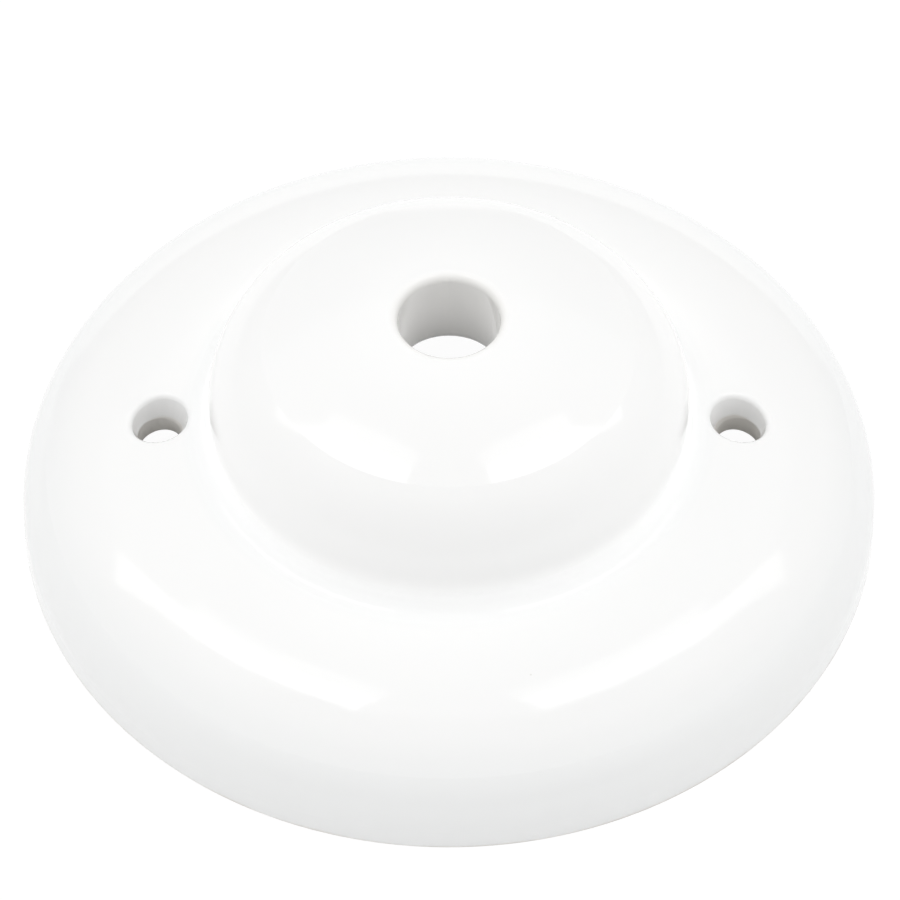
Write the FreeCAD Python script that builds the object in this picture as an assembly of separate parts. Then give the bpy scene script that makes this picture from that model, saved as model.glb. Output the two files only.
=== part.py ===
import FreeCAD, Part
import math
import os

# Glazed porcelain body of a ceiling rose: a round shell, open underneath, with a low dome in the
# middle of its shelf, one bore for the flex through the dome and two screw holes in the shelf.
# Millimetres. The foot ring stands on Z = 0, the dome points up, the screw holes lie along X.

# Outside, from the foot ring up
base_radius = 52.5
edge_round = 0.5          # both edges of the foot ring
wall_draft = 2.0          # degrees that the outer wall leans in
wall_height = 3.1         # straight stretch of the outer wall
shoulder_round = 8.3
shoulder_turn = 52.3      # degrees above level where the shoulder's normal hands over to the shelf
shelf_round = 30.8        # crowned shelf round the dome

# Dome
dome_radius = 29.1        # at its widest, just above the fillet
foot_round = 2.6          # hollow fillet round the dome's foot
dome_round = 12.0         # side and shoulder of the dome
crown_round = 51.2        # gently crowned top
body_height = 34.6        # height at which the crown would cross the axis

# Shell and the neck round the bore
shell_wall = 5.4
cavity_round = 1.5        # corner between the inner wall and the underside of the shelf
bore_radius = 6.1
bore_lip_round = 1.0
bore_depth = 12.0         # from the crown down to the end of the neck
neck_wall = 4.3
neck_round = 1.5          # lower edges of the neck
neck_fillet = 2.0         # between the neck and the underside of the crown

# Screw holes in the shelf
screw_beside_dome = 6.1   # from the dome's widest round to the middle of a screw hole
screw_radius = 2.75       # upright stretch, open underneath
screw_straight = 2.2      # length of the upright stretch
mouth_radius = 3.6        # where the tapered mouth meets the shelf
mouth_round = 0.7


def place(radius, height):
    """A point of the half section, which lies behind the axis, clear of the screw holes."""
    return FreeCAD.Vector(0, radius, height)


def heading(degrees):
    """Unit vector of the half section, measured up from level outwards."""
    return place(math.cos(math.radians(degrees)), math.sin(math.radians(degrees)))


def towards(start, end):
    """Unit vector from one point to another."""
    return (end - start).normalize()


def arc(centre, radius, first, last):
    """Arc round a centre between two unit vectors less than half a turn apart."""
    middle = (first + last).normalize()
    return Part.Arc(centre + first * radius, centre + middle * radius, centre + last * radius).toShape()


def centre_beside(line_point, normal, other_centre, reach):
    """Point on the line across the normal, above the other centre, at the given reach from it."""
    along = place(-normal.z, normal.y)
    start = line_point - other_centre
    half = start.dot(along)
    return line_point + along * (-half + math.sqrt(half * half - start.dot(start) + reach * reach))


def centre_between(lower, lower_reach, upper, upper_reach):
    """Point outside the two centres at the given reach from each."""
    span = (upper - lower).Length
    upwards = towards(lower, upper)
    outwards = place(upwards.z, -upwards.y)
    along = (lower_reach ** 2 - upper_reach ** 2 + span ** 2) / (2 * span)
    return lower + upwards * along + outwards * math.sqrt(lower_reach ** 2 - along ** 2)


def height_on(centre, radius, at_radius):
    """Height of an arc's upper side at a distance from the axis."""
    return centre.z + math.sqrt(radius ** 2 - (at_radius - centre.y) ** 2)


# Centres and normals of the half section's arcs, which the outside and the inside share
wall_normal = heading(wall_draft)
shoulder_normal = heading(shoulder_turn)
wall_top = place(base_radius - wall_height * math.tan(math.radians(wall_draft)), wall_height)
shoulder_centre = wall_top - wall_normal * shoulder_round
shelf_centre = shoulder_centre - shoulder_normal * (shelf_round - shoulder_round)
crown_centre = place(0, body_height - crown_round)
dome_centre = place(
    dome_radius - dome_round, height_on(crown_centre, crown_round - dome_round, dome_radius - dome_round))
crown_normal = towards(crown_centre, dome_centre)
foot_centre = centre_between(
    shelf_centre, shelf_round + foot_round, dome_centre, dome_round + foot_round)
foot_normal = towards(shelf_centre, foot_centre)
dome_normal = towards(dome_centre, foot_centre)
screw_middle = dome_radius + screw_beside_dome


def skin(inset, corner_centre, corner_round, wall_start, crown_end):
    """Edges of the half section from the wall round its corner to the crown, moved in by the inset."""
    corner_normal = towards(shelf_centre, corner_centre)
    return [
        Part.LineSegment(wall_start, corner_centre + wall_normal * corner_round).toShape(),
        arc(corner_centre, corner_round, wall_normal, corner_normal),
        arc(shelf_centre, shelf_round - inset, corner_normal, foot_normal),
        arc(foot_centre, foot_round + inset, foot_normal * -1, dome_normal * -1),
        arc(dome_centre, dome_round - inset, dome_normal, crown_normal),
        arc(crown_centre, crown_round - inset, crown_normal, towards(crown_centre, crown_end)),
    ]


def foot_edge(distance, side):
    """Centre of a rounded edge of the foot ring, on the wall line that far in, side 1 out, -1 in."""
    lean = math.radians(wall_draft)
    inward = distance + side * edge_round
    return place(base_radius - (inward + edge_round * math.sin(lean)) / math.cos(lean), edge_round)


def half_section():
    """Closed outline of the shell's wall, one side of the axis."""
    down = place(0, -1)
    out = place(1, 0)
    outer_edge = foot_edge(0, 1)
    inner_edge = foot_edge(shell_wall, -1)

    lip_radius = bore_radius + bore_lip_round
    lip_centre = place(lip_radius, height_on(crown_centre, crown_round - bore_lip_round, lip_radius))
    lip_normal = towards(crown_centre, lip_centre)
    outside = skin(
        0, shoulder_centre, shoulder_round, outer_edge + wall_normal * edge_round,
        lip_centre + lip_normal * bore_lip_round)

    fillet_radius = bore_radius + neck_wall + neck_fillet
    ceiling_round = crown_round - shell_wall
    fillet_centre = place(fillet_radius, height_on(crown_centre, ceiling_round - neck_fillet, fillet_radius))
    fillet_normal = towards(crown_centre, fillet_centre)
    cavity_centre = centre_beside(
        place(base_radius, 0) - wall_normal * (shell_wall + cavity_round), wall_normal,
        shelf_centre, shelf_round - shell_wall - cavity_round)
    inside = skin(
        shell_wall, cavity_centre, cavity_round, inner_edge - wall_normal * edge_round,
        fillet_centre + fillet_normal * neck_fillet)

    neck_end = body_height - bore_depth
    inner_corner = place(bore_radius + neck_round, neck_end + neck_round)
    outer_corner = place(bore_radius + neck_wall - neck_round, neck_end + neck_round)
    neck = [
        arc(fillet_centre, neck_fillet, fillet_normal, out * -1),
        Part.LineSegment(fillet_centre - out * neck_fillet, outer_corner + out * neck_round).toShape(),
        arc(outer_corner, neck_round, out, down),
        Part.LineSegment(outer_corner + down * neck_round, inner_corner + down * neck_round).toShape(),
        arc(inner_corner, neck_round, down, out * -1),
        Part.LineSegment(inner_corner - out * neck_round, lip_centre - out * bore_lip_round).toShape(),
        arc(lip_centre, bore_lip_round, out * -1, lip_normal),
    ]
    foot = [
        arc(outer_edge, edge_round, wall_normal, down),
        Part.LineSegment(outer_edge + down * edge_round, inner_edge + down * edge_round).toShape(),
        arc(inner_edge, edge_round, down, wall_normal * -1),
    ]
    return Part.Wire(Part.__sortEdges__(outside + inside + neck + foot))


def screw_hole(side):
    """Upright hole with a tapered mouth, as one cutting solid."""
    middle = side * screw_middle
    shelf_top = height_on(shelf_centre, shelf_round, screw_middle)
    shelf_underside = height_on(shelf_centre, shelf_round - shell_wall, screw_middle)
    taper_start = shelf_underside + screw_straight
    taper = (mouth_radius - screw_radius) / (shelf_top - taper_start)
    clear_above = mouth_radius
    upright = Part.makeCylinder(screw_radius, taper_start, FreeCAD.Vector(middle, 0, 0))
    mouth = Part.makeCone(
        screw_radius, mouth_radius + taper * clear_above, shelf_top + clear_above - taper_start,
        FreeCAD.Vector(middle, 0, taper_start))
    return upright.fuse(mouth)


def mouth_edges(body):
    """Upper edges of the two screw holes."""
    shelf_top = height_on(shelf_centre, shelf_round, screw_middle)
    found = []
    for edge in body.Edges:
        box = edge.BoundBox
        off_middle = abs(abs(box.Center.x) - screw_middle)
        if off_middle < mouth_radius / 2 and box.XLength < 3 * mouth_radius and box.ZMax > shelf_top:
            found.append(edge)
    return found


def rose_body():
    """The whole porcelain body."""
    body = Part.Face(half_section()).revolve(place(0, 0), place(0, 1), 360)
    body = body.cut([screw_hole(-1), screw_hole(1)])
    return body.makeFillet(mouth_round, mouth_edges(body)).Solids[0]


os.makedirs("parts", exist_ok=True)
rose = rose_body()
rose.exportStep("parts/rose_body.step")
box = rose.optimalBoundingBox(False, False)
print("rose_body", rose.isValid(), rose.ShapeType, len(rose.Faces), "faces,",
      round(rose.Volume / 1000, 2), "cm3,", round(box.XLength, 2), "x", round(box.YLength, 2),
      "x", round(box.ZLength, 2), "mm")
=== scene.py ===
import math
import bpy
from mathutils import Matrix, Vector

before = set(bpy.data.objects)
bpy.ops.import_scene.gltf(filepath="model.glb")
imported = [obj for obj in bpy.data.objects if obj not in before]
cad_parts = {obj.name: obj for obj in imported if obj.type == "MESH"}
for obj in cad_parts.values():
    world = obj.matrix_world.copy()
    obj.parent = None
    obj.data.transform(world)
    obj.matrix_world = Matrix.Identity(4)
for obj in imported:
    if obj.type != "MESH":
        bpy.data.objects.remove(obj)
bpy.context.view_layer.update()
scene = bpy.context.scene
perMetre = 1000.0  # millimetres


# Camera, in metres: above and in front of the rose
cameraValues = {
    "eye": (0.0, -0.33897, 0.41666),
    "target": (0.00012, 0.0, 0.00934),
    "lens": 173.52,
    "nearest": 0.01,
}


def addCamera(values):
    data = bpy.data.cameras.new("frontCamera")
    data.lens = values["lens"]
    data.clip_start = values["nearest"]
    camera = bpy.data.objects.new("frontCamera", data)
    scene.collection.objects.link(camera)
    camera.location = values["eye"]
    look = Vector(values["target"]) - camera.location
    camera.rotation_euler = look.to_track_quat("-Z", "Y").to_euler()
    scene.camera = camera


# Short ways to wire a node; each gives back the socket that its result comes from
def addMath(tree, operation, *values):
    node = tree.nodes.new("ShaderNodeMath")
    node.operation = operation
    for socket, value in zip(node.inputs, values):
        if isinstance(value, (int, float)):
            socket.default_value = value
        else:
            tree.links.new(value, socket)
    return node.outputs[0]


def addNoise(tree, vector, scale, detail, rough):
    node = tree.nodes.new("ShaderNodeTexNoise")
    tree.links.new(vector, node.inputs["Vector"])
    node.inputs["Scale"].default_value = scale
    node.inputs["Detail"].default_value = detail
    node.inputs["Roughness"].default_value = rough
    return node.outputs["Fac"]


def addCells(tree, vector, scale):  # distance to the nearest of scattered points, and its random colour
    node = tree.nodes.new("ShaderNodeTexVoronoi")
    tree.links.new(vector, node.inputs["Vector"])
    node.inputs["Scale"].default_value = scale
    chance = tree.nodes.new("ShaderNodeSeparateColor")
    tree.links.new(node.outputs["Color"], chance.inputs[0])
    return node.outputs["Distance"], chance.outputs


def addRange(tree, value, low, high, outLow, outHigh):
    node = tree.nodes.new("ShaderNodeMapRange")
    node.interpolation_type = "SMOOTHSTEP"
    tree.links.new(value, node.inputs["Value"])
    for label, number in (("From Min", low), ("From Max", high), ("To Min", outLow), ("To Max", outHigh)):
        node.inputs[label].default_value = number
    return node.outputs["Result"]


def addBlend(tree, factor, first, second):
    node = tree.nodes.new("ShaderNodeMix")
    node.data_type = "RGBA"
    for socket, value in ((node.inputs[0], factor), (node.inputs[6], first), (node.inputs[7], second)):
        if isinstance(value, tuple):
            socket.default_value = value
        else:
            tree.links.new(value, socket)
    return node.outputs[2]


def addNearness(tree, radius, height, centre):  # squared distance in the half section, in mm
    aside = addMath(tree, "POWER", addMath(tree, "SUBTRACT", radius, centre[0]), 2.0)
    above = addMath(tree, "POWER", addMath(tree, "SUBTRACT", height, centre[1]), 2.0)
    return addMath(tree, "ADD", aside, above)


# Softboxes: directions and widths are degrees from straight above, to the right and to the back
lampValues = {
    "distance": 1.5,
    "aim": (0.0, 0.0, 0.02),
    "boxes": {
        "overhead": {"sides": ("Middle",), "centre": (0, 20), "along": (20, 20),
                     "across": 84, "high": 60, "brightness": 0.23},
        "strip": {"sides": ("Left", "Right"), "centre": (30.6, 3.0), "along": (10.6, -11.0),
                  "across": 46, "high": 8, "brightness": 1.4},
        "broad": {"sides": ("Left", "Right"), "centre": (22, -1), "along": (2, -15),
                  "across": 28, "high": 13, "brightness": 0.9},
        "bridge": {"sides": ("Middle",), "centre": (0, -13), "along": (20, -13),
                   "across": 30, "high": 5, "brightness": 0.4},
    },
}


def skyPoint(tilt, side, distance):
    right = -tilt[0] if side == "Left" else tilt[0]
    lean = math.radians(math.hypot(right, tilt[1]))
    turn = math.atan2(tilt[1], right)
    level = math.sin(lean)
    return Vector((level * math.cos(turn), level * math.sin(turn), math.cos(lean))) * distance


def addSoftbox(name, side, box, values):
    distance = values["distance"]
    place = skyPoint(box["centre"], side, distance)
    back = (place - Vector(values["aim"])).normalized()
    length = skyPoint(box["along"], side, distance) - place
    length = (length - back * length.dot(back)).normalized()
    data = bpy.data.lights.new(name + side, "AREA")
    data.shape = "RECTANGLE"
    data.size = 2 * distance * math.tan(math.radians(box["across"] / 2))
    data.size_y = 2 * distance * math.tan(math.radians(box["high"] / 2))
    data.energy = box["brightness"] * math.pi * data.size * data.size_y
    lamp = bpy.data.objects.new(name + side, data)
    scene.collection.objects.link(lamp)
    lamp.matrix_world = Matrix((length, back.cross(length), back)).transposed().to_4x4()
    lamp.location = place


# Even white surround, dimmer towards the front (-1) and the back (1)
surroundValues = {
    "strength": 0.955,
    "front": {"from": -0.3, "full": -0.9, "dimmer": 0.38},
    "rear": {"from": 0.3, "full": 0.9, "dimmer": 0.36},
}


def addSurround(values):
    world = bpy.data.worlds.new("studioWorld")
    world.use_nodes = True
    tree = world.node_tree
    background = tree.nodes["Background"]
    background.inputs["Color"].default_value = (1, 1, 1, 1)
    parts = tree.nodes.new("ShaderNodeSeparateXYZ")
    tree.links.new(tree.nodes.new("ShaderNodeTexCoord").outputs["Generated"], parts.inputs[0])
    front, rear, strength = values["front"], values["rear"], values["strength"]
    ahead = addRange(tree, parts.outputs["Y"], front["full"], front["from"], 1 - front["dimmer"], 1.0)
    behind = addRange(
        tree, parts.outputs["Y"], rear["from"], rear["full"], strength, strength * (1 - rear["dimmer"]))
    tree.links.new(addMath(tree, "MULTIPLY", ahead, behind), background.inputs["Strength"])
    scene.world = world


# Floor, shown white with a faint contact shadow
floorValues = {
    "halfSize": 3.0,
    "colour": (0.96, 0.96, 0.96, 1),
    "shadowColour": (0.07, 0.07, 0.07, 1),
    "glow": 0.97,
}


def addFloor(values):
    half = values["halfSize"]
    mesh = bpy.data.meshes.new("studioFloor")
    corners = [(-half, -half, 0), (half, -half, 0), (half, half, 0), (-half, half, 0)]
    mesh.from_pydata(corners, [], [(0, 1, 2, 3)])
    floor = bpy.data.objects.new("studioFloor", mesh)
    scene.collection.objects.link(floor)
    material = bpy.data.materials.new("studioFloor")
    material.use_nodes = True
    tree = material.node_tree
    tree.nodes.clear()
    plain = tree.nodes.new("ShaderNodeBsdfDiffuse")
    plain.inputs["Color"].default_value = values["colour"]
    shadow = tree.nodes.new("ShaderNodeBsdfDiffuse")
    shadow.inputs["Color"].default_value = values["shadowColour"]
    glow = tree.nodes.new("ShaderNodeEmission")
    glow.inputs["Strength"].default_value = values["glow"]
    shown = tree.nodes.new("ShaderNodeAddShader")
    tree.links.new(shadow.outputs[0], shown.inputs[0])
    tree.links.new(glow.outputs[0], shown.inputs[1])
    path = tree.nodes.new("ShaderNodeLightPath").outputs
    seen = addMath(tree, "MAXIMUM", path["Is Camera Ray"], path["Is Glossy Ray"])
    seen = addMath(tree, "MAXIMUM", seen, path["Is Transmission Ray"])
    mix = tree.nodes.new("ShaderNodeMixShader")
    tree.links.new(seen, mix.inputs["Fac"])
    tree.links.new(plain.outputs[0], mix.inputs[1])
    tree.links.new(shown.outputs[0], mix.inputs[2])
    output = tree.nodes.new("ShaderNodeOutputMaterial")
    tree.links.new(mix.outputs[0], output.inputs["Surface"])
    mesh.materials.append(material)


# Porcelain of the body. Lengths are millimetres, and scales count per metre. Each noise is its
# scale, detail and roughness; what depends on it runs from one edge value to the other
porcelainValues = {
    "ior": 1.5,
    # the glaze ends on the middle of the shell's wall, given as (radius, height), and above the foot
    "glazeLine": {
        "wallMiddle": ((0, 0), (8.0, 0), (8.4, 30), (13, 30), (20, 27.7), (24.5, 24), (26.4, 18.5),
                       (28.2, 14.6), (31.5, 13.1), (35, 12.7), (40, 11.4), (44, 9.5), (46.4, 8),
                       (48.3, 7), (49.4, 4.5), (50, 0), (60, 0)),
        "curveSpan": (60.0, 40.0),
        "wanderNoise": (160.0, 0.0, 0.5), "wander": 1.2, "wallEdge": (-0.2, 0.25),
        "footWander": 0.35, "footEdge": (0.35, 0.75),
    },
    # slow waves and a fine orange peel on the glaze, grain on the bare body, a few pinholes
    "relief": {
        "deep": 0.06, "wavesNoise": (85.0, 0.0, 0.5), "peelNoise": (620.0, 0.0, 0.5), "peel": 0.035,
        "grainNoise": (2600.0, 1.0, 0.65), "grain": 0.22,
        "pinholeScale": 130.0, "pinholeSize": (0.008, 0.026), "pinholeShare": 0.07,
    },
    # sparse iron specks under the glaze; sizes are shares of a cell
    "specks": {"scale": 210.0, "size": (0.008, 0.030), "share": 0.035, "strength": 0.22},
    # the glaze is a little deeper where it gathers in the crease and in clouds, the lower wall gets the
    # same deeper colour as painted shade, and the glaze is warmer where it runs thin at the bore's lip
    "colour": {
        "white": (0.905, 0.905, 0.90, 1), "gatheredAndShade": (0.866, 0.872, 0.870, 1),
        "thin": (0.885, 0.875, 0.85, 1), "speck": (0.42, 0.37, 0.31, 1),
        "bare": (0.80, 0.785, 0.755, 1), "bareDark": (0.70, 0.68, 0.645, 1),
        "crease": (30.2, 16.4), "creaseReach": (0.55, 3.0), "creaseShare": 0.7,
        # painted shade: the wall below 8.5 mm is painted darker, fading out by 13 mm
        "lowWallShade": (8.5, 13.0), "lowWallShadeShare": 0.9, "lip": (6.3, 7.4), "lipShare": 0.6,
        "cloudNoise": (28.0, 1.0, 0.5), "cloudEdge": (0.42, 0.68), "cloudShare": 0.18,
        "stainNoise": (60.0, 3.0, 0.62), "stainEdge": (0.40, 0.66),
    },
    "sheen": {
        "glazeNoise": (45.0, 1.0, 0.6), "glaze": (0.055, 0.095),
        "bareNoise": (300.0, 0.0, 0.5), "bare": (0.58, 0.74),
        "patchEdge": (0.35, 0.65), "pinhole": 0.2,
    },
    # painted light: emission that lifts the shade at the dome's foot, the crease and the bore; radius,
    # height, reach and strength
    "glow": {
        "domeFoot": (27.5, 20.5, 6.0, 0.06),
        "crease": (29.6, 17.4, 2.1, 0.14),
        "bore": (6.1, 28.5, 5.0, 0.05),
    },
}


def newGroup(name, inputs, outputs):  # sockets as (name, kind)
    group = bpy.data.node_groups.new(name, "ShaderNodeTree")
    for direction, sockets in (("INPUT", inputs), ("OUTPUT", outputs)):
        for label, kind in sockets:
            group.interface.new_socket(label, in_out=direction, socket_type="NodeSocket" + kind)
    return group, group.nodes.new("NodeGroupInput").outputs, group.nodes.new("NodeGroupOutput").inputs


def useGroup(tree, group, **wires):
    node = tree.nodes.new("ShaderNodeGroup")
    node.node_tree = group
    for label, source in wires.items():
        tree.links.new(source, node.inputs[label])
    return node.outputs


# Where the glaze lies: 1 on the outside and in the bore, 0 on the underside and the foot ring
def makeGlazeLine(values):
    group, entry, leave = newGroup(
        "glazeLine", [("Position", "Vector")],
        [("Glazed", "Float"), ("Radius", "Float"), ("Height", "Float")])
    parts = group.nodes.new("ShaderNodeSeparateXYZ")
    group.links.new(entry["Position"], parts.inputs[0])
    x, y, z = parts.outputs
    square = addMath(group, "ADD", addMath(group, "POWER", x, 2.0), addMath(group, "POWER", y, 2.0))
    radius = addMath(group, "MULTIPLY", addMath(group, "SQRT", square), perMetre)
    height = addMath(group, "MULTIPLY", z, perMetre)

    widest, tallest = values["curveSpan"]  # the curve runs from 0 to 1 both ways
    curve = group.nodes.new("ShaderNodeFloatCurve")
    group.links.new(addMath(group, "DIVIDE", radius, widest), curve.inputs["Value"])
    points = curve.mapping.curves[0].points
    for index, (along, up) in enumerate(values["wallMiddle"]):
        spot = points[index] if index < 2 else points.new(along / widest, up / tallest)
        spot.location = (along / widest, up / tallest)
        spot.handle_type = "VECTOR"
    curve.mapping.update()
    middle = addMath(group, "MULTIPLY", curve.outputs[0], tallest)

    noise = addNoise(group, entry["Position"], *values["wanderNoise"])
    wander = addMath(group, "MULTIPLY_ADD", noise, values["wander"], -values["wander"] / 2)
    aboveMiddle = addMath(group, "ADD", addMath(group, "SUBTRACT", height, middle), wander)
    aboveFoot = addMath(group, "ADD", height, addMath(group, "MULTIPLY", wander, values["footWander"]))
    outside = addRange(group, aboveMiddle, *values["wallEdge"], 0.0, 1.0)
    offFoot = addRange(group, aboveFoot, *values["footEdge"], 0.0, 1.0)
    group.links.new(addMath(group, "MULTIPLY", outside, offFoot), leave["Glazed"])
    group.links.new(radius, leave["Radius"])
    group.links.new(height, leave["Height"])
    return group


def makeGlazeRelief(values):
    group, entry, leave = newGroup(
        "glazeRelief", [("Position", "Vector"), ("Glazed", "Float")],
        [("Relief", "Float"), ("Pinholes", "Float")])
    position, glazed = entry["Position"], entry["Glazed"]
    distance, chance = addCells(group, position, values["pinholeScale"])
    dent = addRange(group, distance, *values["pinholeSize"], 1.0, 0.0)
    kept = addMath(group, "GREATER_THAN", chance[0], 1 - values["pinholeShare"])
    pinholes = addMath(group, "MULTIPLY", addMath(group, "MULTIPLY", dent, kept), glazed)
    waves = addNoise(group, position, *values["wavesNoise"])
    peel = addMath(group, "MULTIPLY", addNoise(group, position, *values["peelNoise"]), values["peel"])
    grain = addNoise(group, position, *values["grainNoise"])
    glaze = addMath(group, "ADD", waves, peel)
    bare = addMath(group, "ADD", waves, addMath(group, "MULTIPLY", grain, values["grain"]))
    share = addMath(group, "MULTIPLY", addMath(group, "SUBTRACT", glaze, bare), glazed)
    group.links.new(addMath(group, "ADD", bare, share), leave["Relief"])
    group.links.new(pinholes, leave["Pinholes"])
    return group


def makeGlazeSpecks(values):
    group, entry, leave = newGroup("glazeSpecks", [("Position", "Vector")], [("Specks", "Float")])
    distance, chance = addCells(group, entry["Position"], values["scale"])
    smallest, largest = values["size"]
    size = addMath(group, "MULTIPLY_ADD", chance[1], largest - smallest, smallest)
    inside = addMath(group, "LESS_THAN", distance, size)
    kept = addMath(group, "GREATER_THAN", chance[0], 1 - values["share"])
    specks = addMath(group, "MULTIPLY", addMath(group, "MULTIPLY", inside, kept), values["strength"])
    group.links.new(specks, leave["Specks"])
    return group


def makeGlazeColour(values):
    group, entry, leave = newGroup(
        "glazeColour",
        [("Position", "Vector"), ("Glazed", "Float"), ("Radius", "Float"), ("Height", "Float"),
         ("Specks", "Float")],
        [("Colour", "Color")])
    position, radius, height = entry["Position"], entry["Radius"], entry["Height"]
    near, far = (reach ** 2 for reach in values["creaseReach"])
    away = addNearness(group, radius, height, values["crease"])
    crease = addMath(group, "MULTIPLY", addRange(group, away, near, far, 1.0, 0.0), values["creaseShare"])
    # painted shade: darker towards the bottom of the wall
    lowWallShade = addRange(group, height, *values["lowWallShade"], values["lowWallShadeShare"], 0.0)
    cloud = addNoise(group, position, *values["cloudNoise"])
    cloud = addRange(group, cloud, *values["cloudEdge"], 0.0, 1.0)
    cloud = addMath(group, "MULTIPLY", cloud, values["cloudShare"])
    # the deeper colour marks gathered glaze in the crease and the clouds, and painted shade on the lower
    # wall
    gatheredAndShade = addMath(group, "MAXIMUM", addMath(group, "MAXIMUM", crease, lowWallShade), cloud)
    thin = addRange(group, radius, *values["lip"], values["lipShare"], 0.0)
    glaze = addBlend(group, gatheredAndShade, values["white"], values["gatheredAndShade"])
    glaze = addBlend(group, thin, glaze, values["thin"])
    glaze = addBlend(group, entry["Specks"], glaze, values["speck"])
    stains = addNoise(group, position, *values["stainNoise"])
    stains = addRange(group, stains, *values["stainEdge"], 0.0, 1.0)
    bare = addBlend(group, stains, values["bare"], values["bareDark"])
    group.links.new(addBlend(group, entry["Glazed"], bare, glaze), leave["Colour"])
    return group


def makeGlazeSheen(values):
    group, entry, leave = newGroup(
        "glazeSheen", [("Position", "Vector"), ("Glazed", "Float"), ("Pinholes", "Float")],
        [("Roughness", "Float")])
    glazeNoise = addNoise(group, entry["Position"], *values["glazeNoise"])
    bareNoise = addNoise(group, entry["Position"], *values["bareNoise"])
    glaze = addRange(group, glazeNoise, *values["patchEdge"], *values["glaze"])
    glaze = addMath(group, "MULTIPLY_ADD", entry["Pinholes"], values["pinhole"], glaze)
    bare = addRange(group, bareNoise, *values["patchEdge"], *values["bare"])
    share = addMath(group, "MULTIPLY", addMath(group, "SUBTRACT", glaze, bare), entry["Glazed"])
    group.links.new(addMath(group, "ADD", bare, share), leave["Roughness"])
    return group


# Painted light: emission that is strongest at each listed spot and fades with its reach, only where
# glazed
def makePaintedGlow(values):
    group, entry, leave = newGroup(
        "paintedGlow", [("Radius", "Float"), ("Height", "Float"), ("Glazed", "Float")], [("Glow", "Color")])
    glow = 0.0
    for radius, height, reach, strength in values.values():
        away = addNearness(group, entry["Radius"], entry["Height"], (radius, height))
        fall = addMath(group, "EXPONENT", addMath(group, "DIVIDE", away, -reach ** 2))
        glow = addMath(group, "ADD", addMath(group, "MULTIPLY", fall, strength), glow)
    glow = addMath(group, "MULTIPLY", glow, entry["Glazed"])
    colour = group.nodes.new("ShaderNodeCombineColor")
    for socket in colour.inputs:
        group.links.new(glow, socket)
    group.links.new(colour.outputs[0], leave["Glow"])
    return group


def makePorcelain(values):
    material = bpy.data.materials.new("porcelain")
    material.use_nodes = True
    tree = material.node_tree
    surface = tree.nodes["Principled BSDF"].inputs
    surface["IOR"].default_value = values["ior"]
    # full strength for the painted light that the glow group gives as the emission colour
    surface["Emission Strength"].default_value = 1.0
    position = tree.nodes.new("ShaderNodeTexCoord").outputs["Object"]
    line = useGroup(tree, makeGlazeLine(values["glazeLine"]), Position=position)
    glazed, radius, height = line["Glazed"], line["Radius"], line["Height"]
    relief = useGroup(tree, makeGlazeRelief(values["relief"]), Position=position, Glazed=glazed)
    specks = useGroup(tree, makeGlazeSpecks(values["specks"]), Position=position)
    colour = useGroup(
        tree, makeGlazeColour(values["colour"]),
        Position=position, Glazed=glazed, Radius=radius, Height=height, Specks=specks["Specks"])
    sheen = useGroup(
        tree, makeGlazeSheen(values["sheen"]),
        Position=position, Glazed=glazed, Pinholes=relief["Pinholes"])
    glow = useGroup(tree, makePaintedGlow(values["glow"]), Radius=radius, Height=height, Glazed=glazed)
    bump = tree.nodes.new("ShaderNodeBump")
    bump.inputs["Strength"].default_value = 1.0
    bump.inputs["Distance"].default_value = values["relief"]["deep"] / perMetre
    tree.links.new(relief["Relief"], bump.inputs["Height"])
    tree.links.new(colour["Colour"], surface["Base Color"])
    tree.links.new(sheen["Roughness"], surface["Roughness"])
    # painted light: the glow goes into the emission colour
    tree.links.new(glow["Glow"], surface["Emission Color"])
    tree.links.new(bump.outputs["Normal"], surface["Normal"])
    return material


addCamera(cameraValues)
addSurround(surroundValues)
for boxName, box in lampValues["boxes"].items():
    for side in box["sides"]:
        addSoftbox(boxName, side, box, lampValues)
addFloor(floorValues)
print("camera, lamps and floor are set")

porcelain = makePorcelain(porcelainValues)
for slot in bpy.data.objects["rose_body"].material_slots:
    slot.material = porcelain
print("porcelain is glazed")

scene.view_settings.view_transform = "Standard"
